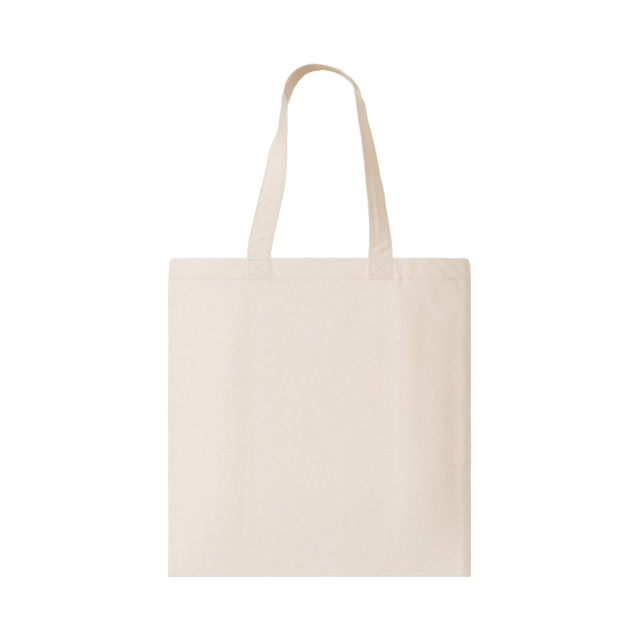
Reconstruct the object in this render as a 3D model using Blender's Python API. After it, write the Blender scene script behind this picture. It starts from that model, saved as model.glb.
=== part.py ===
"""Canvas tote bag, hanging by its two handles: the cloth, hems, seams, straps and thread as separate solids.

Metres, +Z up. The bag's width runs along X, its front faces -Y, and the origin is where the two straps rest on a
hook, at the underside of their highest point. Run it with: blender --background --python part.py
"""

from math import cos, pi, radians, sin

import bmesh
import bpy
from mathutils import Vector

# Driving sizes of the bag.
WIDTH = 0.380  # across the side seams
HEIGHT = 0.400  # from the bottom fold to the folded top edge
LOOP_HEIGHT = 0.235  # from the top edge up to where the straps rest on the hook
Z_TOP = -LOOP_HEIGHT
Z_BOTTOM = Z_TOP - HEIGHT

# Cloth, in the order the layers lie in, from the outside of a panel inwards.
CLOTH = 0.0008
GAP = 0.0003  # between solids that touch on the real bag
HEM_DEPTH = 0.0285
HEM_PLIES = 0.0010
STRAP_WIDTH = 0.030
STRAP_THICK = 0.0020
THREAD = 0.0005

# How far a panel's inner face stands from the bag's middle plane.
SEAM_DEPTH = 0.0019
MIDDLE_DEPTH = 0.023
MOUTH_DEPTH = 0.021
SIDE_RISE = 0.080
BOTTOM_RISE = 0.120
MOUTH_TAPER = 0.100

# The fold along the bottom, between the two panels.
FOLD_RADIUS = SEAM_DEPTH + CLOTH
PANEL_START = FOLD_RADIUS + GAP
FOLD_STEPS = 8

# Seam allowances, turned to the inside.
ALLOWANCE = 0.010
OVERLOCK_WIDTH = 0.004
SEAM_STITCH_IN = 0.0010  # the seam's own thread, from the bag's side

# Straps.
STRAP_X = 0.076  # from the bag's centre line to the middle of each sewn end
SEWN_LENGTH = 0.0275
SPLIT_ABOVE = 0.001  # the sewn end stops here above the top edge, and the free loop starts a little higher
HOOKED_Y = 0.0155  # the straps lie side by side on the hook, this far from the middle plane
STRAP_STEPS = 3  # stations between two of the strap's route points
TOPSTITCH_INSET = 0.0025

# Box stitching that holds each strap end.
BOX_WIDTH = 0.025
BOX_HEIGHT = 0.0205
BOX_BELOW_TOP = 0.0025
BOX_OPEN_SHARE = 0.84  # how much of each of the box's four triangles is left open

FRONT, REAR = -1, 1

# Routes of the straps from the left sewn end over the hook to the right one: distance from the centre line, height
# above the top edge, both in millimetres, and how far the strap has turned from lying in its panel, in degrees.
FRONT_ROUTE = (
    (-76, 1.5, 0), (-71, 40, 2), (-60.5, 85, 8), (-53.5, 125, 36), (-47, 160, 66), (-44, 195, 76), (-40, 212, 100),
    (-30, 229, 118), (-16, 238, 112), (0, 240, 102), (17, 237, 97), (32, 229, 90), (43, 216, 80), (50, 198, 72),
    (57, 160, 62), (64, 115, 52), (70, 70, 42), (75, 30, 26), (76, 1.5, 0),
)  # fmt: skip
REAR_ROUTE = (
    (-76, 1.5, 0), (-70, 40, 5), (-60, 85, 16), (-53, 125, 46), (-46.5, 160, 68), (-43, 195, 70), (-38.5, 212, 64),
    (-29, 229, 62), (-15, 238, 70), (1, 240, 78), (17, 237, 84), (31, 229, 90), (42, 216, 84), (49, 198, 78),
    (56, 160, 70), (63, 115, 58), (69.5, 70, 40), (75, 30, 24), (76, 1.5, 0),
)  # fmt: skip

# Where a panel's grid has its lines: in from a side seam, and up from the bottom of the bag.
PANEL_COLUMNS = (0, 0.003, 0.007, 0.014, 0.026, 0.044, 0.062, 0.080)
PANEL_ROWS = (
    *(PANEL_START + up for up in (0, 0.004, 0.010, 0.020, 0.040, 0.065, 0.092, BOTTOM_RISE)),
    HEIGHT - MOUTH_TAPER, HEIGHT - HEM_DEPTH, HEIGHT,
)  # fmt: skip


def clear_scene():
    for obj in list(bpy.data.objects):
        bpy.data.objects.remove(obj, do_unlink=True)


def material(name, colour, roughness):
    made = bpy.data.materials.new(name)
    made.use_nodes = True
    shader = made.node_tree.nodes["Principled BSDF"]
    shader.inputs["Base Color"].default_value = (*colour, 1)
    shader.inputs["Roughness"].default_value = roughness
    shader.inputs["Metallic"].default_value = 0
    return made


def finish(name, made, look):
    """A closed bmesh as a named object, with its faces pointing out."""
    bmesh.ops.recalc_face_normals(made, faces=made.faces)
    mesh = bpy.data.meshes.new(name)
    made.to_mesh(mesh)
    made.free()
    mesh.materials.append(look)
    obj = bpy.data.objects.new(name, mesh)
    bpy.context.scene.collection.objects.link(obj)


def loft(made, rings):
    """Quads between the closed rings of points, one ring to the next."""
    count = len(rings[0])
    for ring, following in zip(rings, rings[1:]):
        for i in range(count):
            made.faces.new((ring[i], ring[(i + 1) % count], following[(i + 1) % count], following[i]))


def close_ends(made, rings, steps):
    """Quads across the first and the last ring, which run along a layer's one side and back along its other."""
    for ring in (rings[0], rings[-1]):
        for i in range(steps):
            made.faces.new((ring[i], ring[i + 1], ring[-i - 2], ring[-i - 1]))


def rise(distance, length):
    """From 0 at a seam to 1 at that length from it, steep at first as filled cloth is."""
    return sin(min(distance / length, 1) * pi / 2)


def panel_depth(x, up):
    """How far a panel's inner face stands from the middle plane, at that height above the bottom of the bag."""
    taper = max(0, (up - HEIGHT) / MOUTH_TAPER + 1)
    crown = MIDDLE_DEPTH - (MIDDLE_DEPTH - MOUTH_DEPTH) * taper
    fill = rise(WIDTH / 2 - abs(x), SIDE_RISE) * rise(up - PANEL_START, BOTTOM_RISE)
    return SEAM_DEPTH + (crown - SEAM_DEPTH) * fill


def columns_within(half_width):
    """The panel grid's columns out to that half width, on both sides of the centre line."""
    right = [WIDTH / 2 - d for d in PANEL_COLUMNS if WIDTH / 2 - d < half_width - GAP]
    return sorted([-half_width, half_width, *right, *(-x for x in right)])


def slab(name, columns, rows, side, outer, inner, look):
    """A layer of cloth that follows a panel, between two offsets measured outwards from the panel's inner face."""
    made = bmesh.new()
    rings = []
    for up in rows:
        ring = []
        for offset, across in ((outer, columns), (inner, columns[::-1])):
            for x in across:
                ring.append(made.verts.new((x, side * (panel_depth(x, up) + offset), Z_BOTTOM + up)))
        rings.append(ring)
    loft(made, rings)
    close_ends(made, rings, len(columns) - 1)
    finish(name, made, look)


def make_panel(name, side, look):
    slab(name, columns_within(WIDTH / 2), PANEL_ROWS, side, CLOTH, 0, look)


def make_hem(name, side, look):
    """The top of the panel, folded over to the inside."""
    columns = columns_within(WIDTH / 2 - ALLOWANCE - OVERLOCK_WIDTH)
    slab(name, columns, (HEIGHT - HEM_DEPTH, HEIGHT), side, -GAP, -GAP - HEM_PLIES, look)


def make_hem_stitch(name, side, look):
    """One row of thread along the bottom of the hem, on the outside."""
    low = HEIGHT - HEM_DEPTH + 3 * THREAD
    columns = columns_within(WIDTH / 2 - OVERLOCK_WIDTH)
    slab(name, columns, (low, low + THREAD), side, CLOTH + GAP + THREAD, CLOTH + GAP, look)


def make_sewn_end(name, side, x, look):
    """The end of a strap, against the inside of the hem, up to where the strap bends."""
    columns = [x - STRAP_WIDTH / 2, x + STRAP_WIDTH / 2]
    outer = -2 * GAP - HEM_PLIES
    rows = (HEIGHT - SEWN_LENGTH, HEIGHT + SPLIT_ABOVE)
    slab(name, columns, rows, side, outer, outer - STRAP_THICK, look)


def make_box_stitch(name, side, x, look):
    """A box with its two diagonals, sewn through the panel, the hem and the strap's end."""
    middle = Vector((x, HEIGHT - BOX_BELOW_TOP - BOX_HEIGHT / 2))
    half = Vector((BOX_WIDTH / 2, BOX_HEIGHT / 2))
    corners = [middle + Vector((a * half.x, b * half.y)) for a, b in ((-1, -1), (1, -1), (1, 1), (-1, 1))]
    outlines = [corners]
    for i in range(4):
        triangle = (corners[i], corners[(i + 1) % 4], middle)
        centre = sum(triangle, Vector((0, 0))) / 3
        outlines.append([centre + (p - centre) * BOX_OPEN_SHARE for p in triangle])

    made = bmesh.new()
    for outline in outlines:
        points = []
        for across, up in outline:
            depth = panel_depth(across, up) + CLOTH + GAP
            points.append(made.verts.new((across, side * depth, Z_BOTTOM + up)))
        for i, point in enumerate(points):
            made.edges.new((point, points[i - 1]))
    bmesh.ops.triangle_fill(made, edges=made.edges, use_beauty=True)
    lifted = bmesh.ops.extrude_face_region(made, geom=made.faces)["geom"]
    lifted = [part for part in lifted if isinstance(part, bmesh.types.BMVert)]
    bmesh.ops.translate(made, verts=lifted, vec=(0, side * THREAD, 0))
    finish(name, made, look)


def make_bottom_fold(name, look):
    """The cloth's turn from the front panel to the rear one: a half tube, open upwards."""
    made = bmesh.new()
    rings = []
    for x in (-WIDTH / 2, WIDTH / 2):
        ring = []
        for radius, steps in ((FOLD_RADIUS, range(FOLD_STEPS + 1)), (SEAM_DEPTH, range(FOLD_STEPS, -1, -1))):
            for step in steps:
                turn = pi * step / FOLD_STEPS
                y, z = -radius * cos(turn), Z_BOTTOM + FOLD_RADIUS - radius * sin(turn)
                ring.append(made.verts.new((x, y, z)))
        rings.append(ring)
    loft(made, rings)
    close_ends(made, rings, FOLD_STEPS)
    finish(name, made, look)


def side_block(name, hand, in_from_side, half_depth, z_low, z_high, look):
    """An upright block beside a side seam: in_from_side is how far in it starts and how far in it ends."""
    xs = sorted(hand * (WIDTH / 2 - distance) for distance in in_from_side)
    low, high = Vector((xs[0], -half_depth, z_low)), Vector((xs[1], half_depth, z_high))
    made = bmesh.new()
    bmesh.ops.create_cube(made, size=1)
    bmesh.ops.scale(made, vec=high - low, verts=made.verts)
    bmesh.ops.translate(made, vec=(low + high) / 2, verts=made.verts)
    finish(name, made, look)


def make_side_seam(name, hand, look):
    """The two panels' edges, turned in and lying face to face down the side."""
    start = SEAM_STITCH_IN + THREAD + GAP
    side_block(name, hand, (start, ALLOWANCE), CLOTH, Z_BOTTOM + CLOTH + 2 * GAP, Z_TOP, look)


def make_seam_stitch(name, hand, look):
    """The thread that holds front and rear together, in the crease at the bag's side."""
    reach = (SEAM_STITCH_IN, SEAM_STITCH_IN + THREAD)
    side_block(name, hand, reach, SEAM_DEPTH - GAP, Z_BOTTOM + PANEL_START, Z_TOP - GAP, look)


def make_overlock(name, hand, look):
    """The thread wrapped over a side seam's raw edge: a U in plan, carried up the seam."""
    edge = WIDTH / 2 - ALLOWANCE
    start, inner, outer = edge + OVERLOCK_WIDTH, CLOTH + GAP, CLOTH + GAP + THREAD
    u_shape = (
        (start, outer), (edge - GAP - THREAD, outer), (edge - GAP - THREAD, -outer), (start, -outer),
        (start, -inner), (edge - GAP, -inner), (edge - GAP, inner), (start, inner),
    )  # fmt: skip
    made = bmesh.new()
    rings = []
    for z in (Z_BOTTOM + PANEL_START, Z_TOP - GAP):
        rings.append([made.verts.new((hand * x, y, z)) for x, y in u_shape])
    loft(made, rings)
    close_ends(made, rings, len(u_shape) // 2 - 1)
    finish(name, made, look)


def smooth_route(route):
    """The route's own points and the stations between them, on one smooth curve through them all."""
    points = [Vector(p) for p in route]
    points = [2 * points[0] - points[1], *points, 2 * points[-1] - points[-2]]
    stations = []
    for i in range(1, len(points) - 2):
        before, start, end, after = points[i - 1 : i + 3]
        for step in range(STRAP_STEPS):
            t = step / STRAP_STEPS
            bend = 2 * before - 5 * start + 4 * end - after
            twist = 3 * start - before - 3 * end + after
            stations.append(start + 0.5 * ((end - before) * t + bend * t * t + twist * t**3))
    return [*stations, points[-2]]


def strap_frames(route, side):
    """For each station of a strap: its centre, the direction to the loop's inner edge and its outward normal."""
    stations = smooth_route(route)
    sewn_y = MOUTH_DEPTH - 2 * GAP - HEM_PLIES - STRAP_THICK / 2
    frames = []
    for i, (x, up, turn) in enumerate(stations):
        ahead, behind = stations[min(i + 1, len(stations) - 1)], stations[max(i - 1, 0)]
        along = Vector((ahead[0] - behind[0], 0, ahead[1] - behind[1])).normalized()
        if i in (0, len(stations) - 1):
            along = Vector((0, 0, 1 if i == 0 else -1))
        away = Vector((-along.z, 0, along.x))
        depth = sewn_y + (HOOKED_Y - sewn_y) * min(1, up / 1000 / LOOP_HEIGHT)
        normal = away * sin(radians(turn)) + Vector((0, side, 0)) * cos(radians(turn))
        centre = Vector((x / 1000, side * depth, Z_TOP + up / 1000))
        frames.append((centre, along.cross(normal) * -side, normal))
    return frames


def ribbon(name, frames, across, low, high, look):
    """A flat solid along a strap: across lists its lines over the width, low and high its reach along the normal."""
    made = bmesh.new()
    rings = []
    for centre, inwards, normal in frames:
        outline = [(a, high) for a in across] + [(a, low) for a in reversed(across)]
        rings.append([made.verts.new(centre + inwards * a + normal * b) for a, b in outline])
    loft(made, rings)
    close_ends(made, rings, len(across) - 1)
    bmesh.ops.triangulate(made, faces=made.faces)
    finish(name, made, look)


def topstitch_lines(edge):
    """The two sides of a row of thread near one edge of the strap: 1 is the loop's inner edge and -1 its outer."""
    middle = edge * (STRAP_WIDTH / 2 - TOPSTITCH_INSET)
    return [middle - THREAD / 2, middle + THREAD / 2]


def make_handle(name, frames, look):
    half = STRAP_WIDTH / 2
    across = [-half, *topstitch_lines(-1), *topstitch_lines(1), half]
    ribbon(name, frames, across, -STRAP_THICK / 2, STRAP_THICK / 2, look)


def make_topstitch(name, frames, edge, look):
    """A row of thread that closes the folded strap, along its outward face."""
    base = STRAP_THICK / 2 + GAP
    ribbon(name, frames[1:-1], topstitch_lines(edge), base, base + THREAD, look)


def main():
    clear_scene()
    canvas = material("natural_canvas", (0.80, 0.72, 0.62), 0.9)
    strap = material("strap_canvas", (0.78, 0.70, 0.60), 0.9)
    thread = material("sewing_thread", (0.84, 0.78, 0.68), 0.7)

    make_bottom_fold("bottom_fold", canvas)
    for label, side, route in (("front", FRONT, FRONT_ROUTE), ("rear", REAR, REAR_ROUTE)):
        frames = strap_frames(route, side)
        make_panel(f"{label}_panel", side, canvas)
        make_hem(f"{label}_hem", side, canvas)
        make_hem_stitch(f"{label}_hem_stitch", side, thread)
        make_handle(f"{label}_handle", frames, strap)
        for edge_name, edge in (("inner", 1), ("outer", -1)):
            make_topstitch(f"{label}_handle_{edge_name}_topstitch", frames, edge, thread)
        for hand_name, x in (("left", -STRAP_X), ("right", STRAP_X)):
            make_sewn_end(f"{label}_handle_{hand_name}_end", side, x, strap)
            make_box_stitch(f"{label}_{hand_name}_box_stitch", side, x, thread)

    for hand_name, hand in (("left", -1), ("right", 1)):
        make_side_seam(f"{hand_name}_side_seam", hand, canvas)
        make_seam_stitch(f"{hand_name}_seam_stitch", hand, thread)
        make_overlock(f"{hand_name}_seam_overlock", hand, thread)


main()
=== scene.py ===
# %% [markdown]
# # A canvas tote bag, hanging by its handles
#
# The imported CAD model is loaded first, and stays a fixed frame: its solids give every place and size here.
# Then come the camera, the light, the finishes, and the bag itself, made as it is sewn: one cut of canvas
# folded into a bag, two straps, and the rows of thread that hold them together.

# %% Load the frame
from math import ceil, cos, hypot, pi, radians, sin, sqrt

import bpy
import numpy as np
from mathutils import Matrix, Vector


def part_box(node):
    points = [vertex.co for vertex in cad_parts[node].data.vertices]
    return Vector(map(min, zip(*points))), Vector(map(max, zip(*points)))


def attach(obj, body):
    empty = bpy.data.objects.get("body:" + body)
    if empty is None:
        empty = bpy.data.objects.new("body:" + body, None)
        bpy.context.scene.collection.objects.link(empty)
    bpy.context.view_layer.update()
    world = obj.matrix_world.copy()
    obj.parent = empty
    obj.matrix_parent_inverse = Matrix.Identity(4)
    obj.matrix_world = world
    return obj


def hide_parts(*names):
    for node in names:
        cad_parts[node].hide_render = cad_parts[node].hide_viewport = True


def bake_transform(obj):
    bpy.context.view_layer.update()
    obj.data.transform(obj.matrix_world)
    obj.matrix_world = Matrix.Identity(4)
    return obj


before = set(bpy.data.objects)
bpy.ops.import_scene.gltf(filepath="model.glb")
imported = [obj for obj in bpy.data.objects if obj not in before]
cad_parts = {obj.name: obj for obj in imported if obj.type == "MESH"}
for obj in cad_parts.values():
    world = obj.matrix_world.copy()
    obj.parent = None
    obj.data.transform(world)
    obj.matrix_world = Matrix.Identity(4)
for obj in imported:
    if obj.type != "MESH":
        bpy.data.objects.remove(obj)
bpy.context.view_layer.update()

# %% [markdown]
# ## Sizes
#
# The sizes come from the frame's own nodes, so the looks fit the CAD model with nothing typed in twice. The
# panel gives the width, the fold gives the bottom, and the hem gives the depth of its turned-in edge.

# %% Read the bag's sizes
HALF_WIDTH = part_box("front_panel")[1].x
Z_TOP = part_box("front_panel")[1].z
Z_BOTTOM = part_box("bottom_fold")[0].z
HEIGHT = Z_TOP - Z_BOTTOM
HEM_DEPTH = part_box("front_hem")[1].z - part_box("front_hem")[0].z
PLATEAU = -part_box("front_panel")[0].y
SEWN_END_LOW, SEWN_END_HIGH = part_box("front_handle_right_end")
STRAP_X = (SEWN_END_LOW.x + SEWN_END_HIGH.x) / 2
STRAP_WIDTH = SEWN_END_HIGH.x - SEWN_END_LOW.x
SEWN_LENGTH = Z_TOP - SEWN_END_LOW.z
BOX_LOW, BOX_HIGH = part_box("front_right_box_stitch")
ALLOWANCE = HALF_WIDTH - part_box("right_seam_overlock")[0].x - 0.0008
FRONT, REAR = -1, 1
MM = 0.001
CLOTH = 0.0006
SEAM_HALF = 0.0016  # from the bag's middle plane to the middle of the cloth, along its sides and bottom
HEM_LINE = HEIGHT - HEM_DEPTH + 0.0017


def along_at(up):
    """How far along the flat cloth, from its middle, a height above the bag's bottom lies."""
    return pi / 2 * SEAM_HALF + up - CLOTH / 2 - SEAM_HALF


HEM_ALONG = along_at(HEM_LINE)
BOX_ALONG = along_at((BOX_LOW.z + BOX_HIGH.z) / 2 - Z_BOTTOM)
print(f"bag {2 * HALF_WIDTH:.3f} x {HEIGHT:.3f} m, hem {HEM_DEPTH:.3f}, straps {STRAP_WIDTH:.3f} wide")

# %% [markdown]
# ## Camera
#
# The bag is seen straight from the front, with very little perspective, so the camera stands well back with a
# long lens. Its frame is a square 0.8 m wide at the bag, level with a point near the top of the bag.

# %% Make the camera
SENSOR = 0.036
CAMERA_DISTANCE = 4.0
VIEW_WIDTH = 0.8026
VIEW_Z = -0.3129
VIEW_X = 0.0006

camera_data = bpy.data.cameras.new("camera")
camera_data.sensor_width = SENSOR * 1000
camera_data.lens = 1000 * SENSOR * CAMERA_DISTANCE / VIEW_WIDTH
camera = bpy.data.objects.new("camera", camera_data)
camera.location = (VIEW_X, -CAMERA_DISTANCE, VIEW_Z)
camera.rotation_euler = (pi / 2, 0, 0)
bpy.context.scene.collection.objects.link(camera)
bpy.context.scene.camera = camera
print(f"lens {camera_data.lens:.0f} mm")

# %% [markdown]
# ## Light and floor
#
# A big soft light stands in front and to the left, so that the left of the bag is palest, and the right
# side and the insides of the straps fall off into a warm shade. The room's own light is warm and dim. The
# camera sees the surroundings as plain white, which the Light Path node separates from what lights the
# cloth. A round pale floor lies well below the bag.

# %% Light the scene
KEY_COLOUR = (0.56, 0.78, 1.0)
CEILING_GLOW = (0.74, 0.69, 0.59)
FLOOR_GLOW = (0.59, 0.40, 0.21)


def area_light(name, place, aim, size, watts, colour):
    """A square soft light at a place, turned to shine at a point."""
    data = bpy.data.lights.new(name, "AREA")
    data.size = size
    data.energy = watts
    data.color = colour
    light = bpy.data.objects.new(name, data)
    light.location = place
    light.rotation_euler = (Vector(aim) - Vector(place)).to_track_quat("-Z", "Y").to_euler()
    bpy.context.scene.collection.objects.link(light)
    return light


BAG_MIDDLE = (0, 0, (Z_TOP + Z_BOTTOM) / 2)
area_light("key", (-1.27, -2.38, 0.0), BAG_MIDDLE, 1.1, 40, KEY_COLOUR)
area_light("rear", (1.7, 2.1, 0.2), BAG_MIDDLE, 1.1, 36, KEY_COLOUR)

world = bpy.data.worlds.new("studio")
bpy.context.scene.world = world
world.use_nodes = True
nodes, links = world.node_tree.nodes, world.node_tree.links
nodes.clear()
direction = nodes.new("ShaderNodeTexCoord")
height = nodes.new("ShaderNodeSeparateXYZ")
links.new(direction.outputs["Generated"], height.inputs["Vector"])
above = nodes.new("ShaderNodeMapRange")
above.interpolation_type = "SMOOTHSTEP"
above.inputs["From Min"].default_value = -0.35
above.inputs["From Max"].default_value = 0.35
links.new(height.outputs["Z"], above.inputs["Value"])
walls = nodes.new("ShaderNodeMix")
walls.data_type = "RGBA"
links.new(above.outputs["Result"], walls.inputs["Factor"])
walls.inputs[6].default_value = (*FLOOR_GLOW, 1)
walls.inputs[7].default_value = (*CEILING_GLOW, 1)
room = nodes.new("ShaderNodeBackground")
links.new(walls.outputs[2], room.inputs["Color"])
backdrop = nodes.new("ShaderNodeBackground")
backdrop.inputs["Color"].default_value = (1, 1, 1, 1)
backdrop.inputs["Strength"].default_value = 1.05
path = nodes.new("ShaderNodeLightPath")
either = nodes.new("ShaderNodeMixShader")
links.new(path.outputs["Is Camera Ray"], either.inputs["Fac"])
links.new(room.outputs["Background"], either.inputs[1])
links.new(backdrop.outputs["Background"], either.inputs[2])
links.new(either.outputs["Shader"], nodes.new("ShaderNodeOutputWorld").inputs["Surface"])
bpy.context.scene.view_settings.view_transform = "Standard"

# %% Lay the floor
for obj in list(bpy.context.selected_objects):
    obj.select_set(False)
FLOOR_RADIUS = 0.42
FLOOR_DROP = 0.30  # from the bag's bottom down to the floor
FLOOR_PLACE = (0, 0, Z_BOTTOM - FLOOR_DROP)
bpy.ops.mesh.primitive_circle_add(vertices=96, radius=FLOOR_RADIUS, fill_type="NGON", location=FLOOR_PLACE)
floor = bpy.context.active_object
floor.name = "floor"
floor_paint = bpy.data.materials.new("pale_floor")
floor_paint.use_nodes = True
floor_paint.node_tree.nodes["Principled BSDF"].inputs["Base Color"].default_value = (0.86, 0.85, 0.84, 1)
floor_paint.node_tree.nodes["Principled BSDF"].inputs["Roughness"].default_value = 0.9
floor.data.materials.append(floor_paint)

# %% [markdown]
# ## The weave
#
# The canvas is a plain weave: each yarn goes over one crossing yarn and under the next. The group works
# that out from a position on the flat cloth, in metres, which each cloth piece carries as its UV map, so
# the threads follow every fold. It gives the height of the yarns, a mask of the gaps between them, and a
# slow unevenness from one yarn to the next, which is what makes cotton look like cotton.

# %% Helpers for node groups
def new_group(name, inputs, outputs):
    """An empty shader node group with those sockets, and its two end nodes."""
    group = bpy.data.node_groups.new(name, "ShaderNodeTree")
    for label, kind, value in inputs:
        socket = group.interface.new_socket(name=label, in_out="INPUT", socket_type=kind)
        if value is not None:
            socket.default_value = value
    for label, kind in outputs:
        group.interface.new_socket(name=label, in_out="OUTPUT", socket_type=kind)
    return group, group.nodes.new("NodeGroupInput"), group.nodes.new("NodeGroupOutput")


def maths(tree, operation, *values):
    """A Math node with those inputs, each one a number or another node's output."""
    node = tree.nodes.new("ShaderNodeMath")
    node.operation = operation
    for i, value in enumerate(values):
        if isinstance(value, (int, float)):
            node.inputs[i].default_value = value
        else:
            tree.links.new(value, node.inputs[i])
    return node.outputs[0]


def stretched_noise(tree, vector, scale, squeeze, detail=2.0, rough=0.5):
    """Noise read through a position squeezed along one or two directions, so that it comes out streaky."""
    mapping = tree.nodes.new("ShaderNodeMapping")
    mapping.inputs["Scale"].default_value = squeeze
    tree.links.new(vector, mapping.inputs["Vector"])
    noise = tree.nodes.new("ShaderNodeTexNoise")
    noise.inputs["Scale"].default_value = scale
    noise.inputs["Detail"].default_value = detail
    noise.inputs["Roughness"].default_value = rough
    tree.links.new(mapping.outputs["Vector"], noise.inputs["Vector"])
    return noise.outputs["Fac"]


def remap(tree, value, low, high, to_low, to_high):
    """A smooth step from one value to another as the input goes from low to high."""
    node = tree.nodes.new("ShaderNodeMapRange")
    node.interpolation_type = "SMOOTHSTEP"
    tree.links.new(value, node.inputs["Value"])
    for socket, number in zip(("From Min", "From Max", "To Min", "To Max"), (low, high, to_low, to_high)):
        if isinstance(number, (int, float)):
            node.inputs[socket].default_value = number
        else:
            tree.links.new(number, node.inputs[socket])
    return node.outputs["Result"]


def blend_colours(tree, factor, first, second, kind="MIX"):
    """A Mix node for colours, each one a tuple or another node's output."""
    node = tree.nodes.new("ShaderNodeMix")
    node.data_type = "RGBA"
    node.blend_type = kind
    for socket, value in ((0, factor), (6, first), (7, second)):
        if isinstance(value, (int, float)):
            node.inputs[socket].default_value = value
        elif isinstance(value, tuple):
            node.inputs[socket].default_value = (*value, 1)
        else:
            tree.links.new(value, node.inputs[socket])
    return node.outputs[2]


print("node helpers ready")

# %% Build the weave group
def make_weave_group():
    group, given, result = new_group(
        "plain_weave",
        (("Cloth", "NodeSocketVector", None), ("Pitch", "NodeSocketFloat", 0.0008)),
        (("Height", "NodeSocketFloat"), ("Gaps", "NodeSocketFloat"), ("Yarn", "NodeSocketFloat")),
    )
    cloth, pitch = given.outputs["Cloth"], given.outputs["Pitch"]
    # Real yarns wander, so the position is nudged a little before it is counted in yarns.
    wander = group.nodes.new("ShaderNodeTexNoise")
    wander.inputs["Scale"].default_value = 60
    wander.inputs["Detail"].default_value = 3
    group.links.new(cloth, wander.inputs["Vector"])
    nudge = maths(group, "MULTIPLY", maths(group, "SUBTRACT", wander.outputs["Fac"], 0.5), 0.004)
    split = group.nodes.new("ShaderNodeSeparateXYZ")
    group.links.new(cloth, split.inputs["Vector"])
    across = maths(group, "DIVIDE", maths(group, "ADD", split.outputs["X"], nudge), pitch)
    along = maths(group, "DIVIDE", maths(group, "SUBTRACT", split.outputs["Y"], nudge), pitch)

    def yarns(over, crossing, shift):
        """The height of the yarns counted by over, which dive under each second one counted by crossing."""
        inside = maths(group, "SUBTRACT", maths(group, "MULTIPLY", maths(group, "FRACT", over), 2), 1)
        squared = maths(group, "MULTIPLY", inside, inside)
        rounded = maths(group, "SQRT", maths(group, "SUBTRACT", 1.0, squared))
        number = maths(group, "ADD", maths(group, "FLOOR", over), shift)
        wave = maths(group, "COSINE", maths(group, "MULTIPLY", maths(group, "ADD", crossing, number), pi))
        lift = maths(group, "MULTIPLY_ADD", wave, 0.32, 0.68)
        return maths(group, "MULTIPLY", rounded, lift)

    upright = yarns(across, along, -0.5)
    level = yarns(along, across, 0.5)
    height = maths(group, "MAXIMUM", upright, level)
    group.links.new(height, result.inputs["Height"])
    group.links.new(remap(group, height, 0.15, 0.55, 1.0, 0.0), result.inputs["Gaps"])

    # Each yarn is spun a little thicker or thinner along its length: short streaks both ways.
    tall = stretched_noise(group, cloth, 1.0, (640, 90, 1), 3.0, 0.7)
    wide = stretched_noise(group, cloth, 1.0, (90, 640, 1), 3.0, 0.7)
    streaks = maths(group, "MULTIPLY", maths(group, "ADD", tall, wide), 0.5)
    group.links.new(streaks, result.inputs["Yarn"])
    return group


WEAVE = make_weave_group()
print("weave group:", len(WEAVE.nodes), "nodes")

# %% [markdown]
# ## Flecks and slubs
#
# Unbleached cotton keeps bits of seed husk, which show as tiny brown flecks, some no more than a dot. A
# Voronoi texture scatters one point to a cell; a random number kept by each cell leaves most cells empty
# and gives each fleck its own size. Slubs are short thick stretches of yarn: streaky noise cut off high.

# %% Build the fleck and slub groups
def make_fleck_group():
    group, given, result = new_group(
        "cotton_flecks",
        (
            ("Cloth", "NodeSocketVector", None),
            ("Cells", "NodeSocketFloat", 90.0),
            ("Share", "NodeSocketFloat", 0.3),
            ("Size", "NodeSocketFloat", 0.05),
        ),
        (("Mask", "NodeSocketFloat"),),
    )
    cells = group.nodes.new("ShaderNodeTexVoronoi")
    cells.voronoi_dimensions = "2D"
    group.links.new(given.outputs["Cloth"], cells.inputs["Vector"])
    group.links.new(given.outputs["Cells"], cells.inputs["Scale"])
    kept = group.nodes.new("ShaderNodeSeparateColor")
    group.links.new(cells.outputs["Color"], kept.inputs["Color"])
    chosen = maths(group, "LESS_THAN", kept.outputs["Red"], given.outputs["Share"])
    size_share = maths(group, "MULTIPLY_ADD", kept.outputs["Green"], 0.9, 0.35)
    reach = maths(group, "MULTIPLY", given.outputs["Size"], size_share)
    spot = remap(group, cells.outputs["Distance"], maths(group, "MULTIPLY", reach, 0.45), reach, 1.0, 0.0)
    strength = maths(group, "MULTIPLY_ADD", kept.outputs["Blue"], 0.75, 0.25)
    mask = maths(group, "MULTIPLY", maths(group, "MULTIPLY", spot, chosen), strength)
    group.links.new(mask, result.inputs["Mask"])
    return group


def make_slub_group():
    inputs, outputs = (("Cloth", "NodeSocketVector", None),), (("Mask", "NodeSocketFloat"),)
    group, given, result = new_group("yarn_slubs", inputs, outputs)
    level = stretched_noise(group, given.outputs["Cloth"], 1.0, (110, 1000, 1), 1.0)
    upright = stretched_noise(group, given.outputs["Cloth"], 1.0, (1000, 90, 1), 1.0)
    lying, standing = (remap(group, streak, 0.66, 0.80, 0.0, 1.0) for streak in (level, upright))
    both = maths(group, "MAXIMUM", lying, standing)
    group.links.new(both, result.inputs["Mask"])
    return group


FLECKS = make_fleck_group()
SLUBS = make_slub_group()
print("fleck and slub groups ready")

# %% [markdown]
# ## Needle marks
#
# Where a needle has gone through, the canvas has a small hole and the thread pulls it down; the shade in each
# hole is painted on as a dark dot. The group finds its place from the cloth's own map: how far it is from the
# box of stitching, from the box's diagonals and from the hem's row, and it keeps a dot each few millimetres
# along those lines.

# %% Build the needle mark group
NEEDLE_PITCH = 0.0028


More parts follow.
